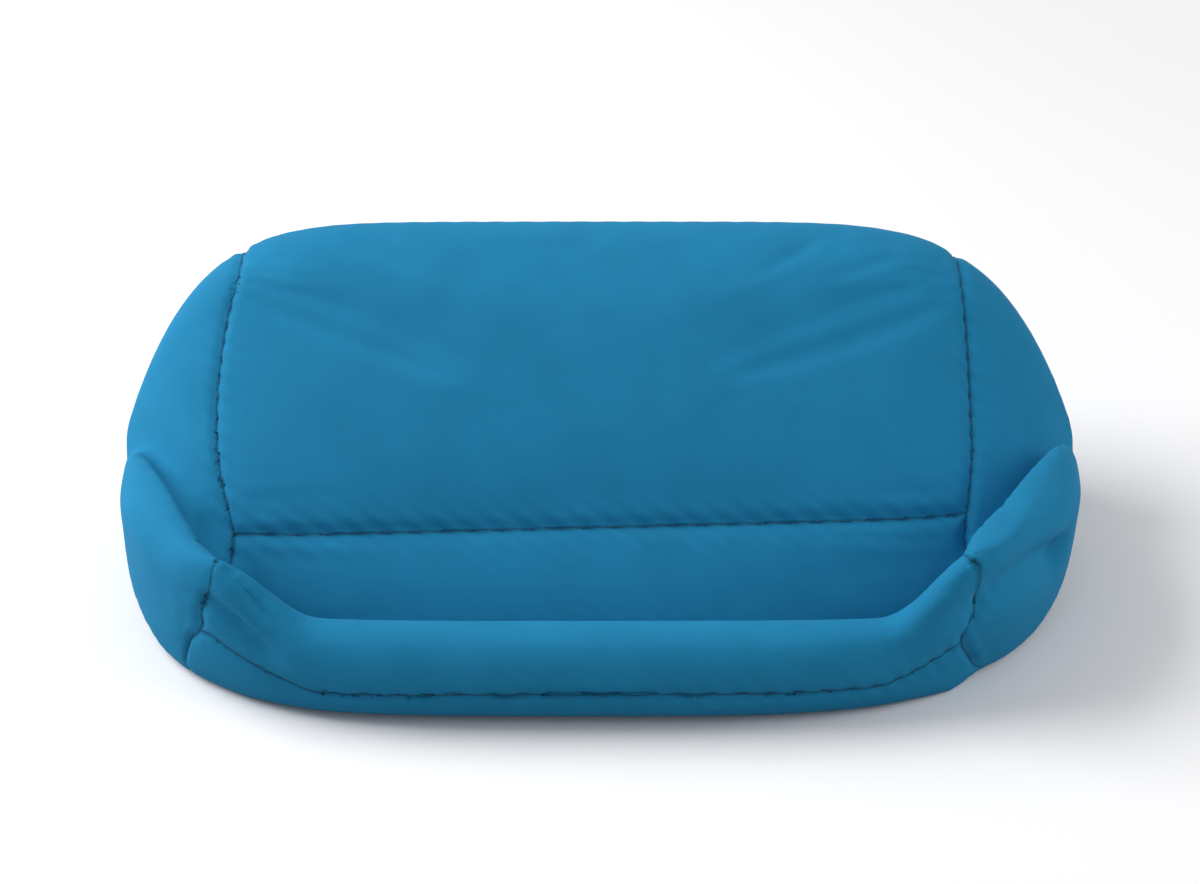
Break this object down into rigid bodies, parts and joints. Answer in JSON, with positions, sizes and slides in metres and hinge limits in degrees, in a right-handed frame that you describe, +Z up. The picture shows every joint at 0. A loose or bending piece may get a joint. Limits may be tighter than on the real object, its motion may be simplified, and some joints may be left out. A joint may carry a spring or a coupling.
{
  "type": "beanbag tablet stand",
  "caption": "Soft bead-filled lap stand with a reclined backrest and a front roll, whose trough props a tablet at a reading angle; zipped stretch-fabric cover.",
  "frame": {"origin": "on the surface that the stand rests on, under the middle of its bounding box", "axes": "+X to the user's right along the stand's length, +Y from the user towards the rear, +Z up"},
  "size_m": [0.372, 0.216, 0.115],
  "materials": {
    "cover_fabric": "matte stretch knit, teal blue",
    "bead_bag": "thin white liner filled with foam beads",
    "zip_tape": "woven tape",
    "zip_teeth": "moulded nylon",
    "zip_metal": "plated metal"
  },
  "bodies": {
    "base": {"base_panel": "cover_fabric", "front_roll_panel": "cover_fabric", "seat_panel": "cover_fabric", "rear_panel": "cover_fabric", "left_side_panel": "cover_fabric", "right_side_panel": "cover_fabric", "front_bead_bag": "bead_bag", "base_bead_bag": "bead_bag", "zip_tape_upper": "zip_tape", "zip_tape_lower": "zip_tape", "zip_teeth_upper": "zip_teeth", "zip_teeth_lower": "zip_teeth", "zip_closed_stop": "zip_metal", "zip_open_stop": "zip_metal"},
    "backrest": {"backrest_panel": "cover_fabric", "backrest_bead_bag": "bead_bag"},
    "zip_slider": {"zip_slider": "zip_metal"},
    "zip_pull": {"zip_pull": "zip_metal"}
  },
  "joints": [
    {"name": "backrest_tilt", "type": "hinge", "parent": "base", "child": "backrest", "pos_m": [0, 0.10185, 0.039], "axis": [-1, 0, 0], "range_deg": [0, 8], "deforming": ["left_side_panel", "right_side_panel", "rear_panel"]},
    {"name": "zip_slide", "type": "slide", "parent": "base", "child": "zip_slider", "axis": [-1, 0, 0], "range_m": [0, 0.175]},
    {"name": "zip_pull_flip", "type": "hinge", "parent": "zip_slider", "child": "zip_pull", "pos_m": [0.0875, 0.10685, 0.026], "axis": [0, 0, -1], "range_deg": [0, 150]}
  ]
}
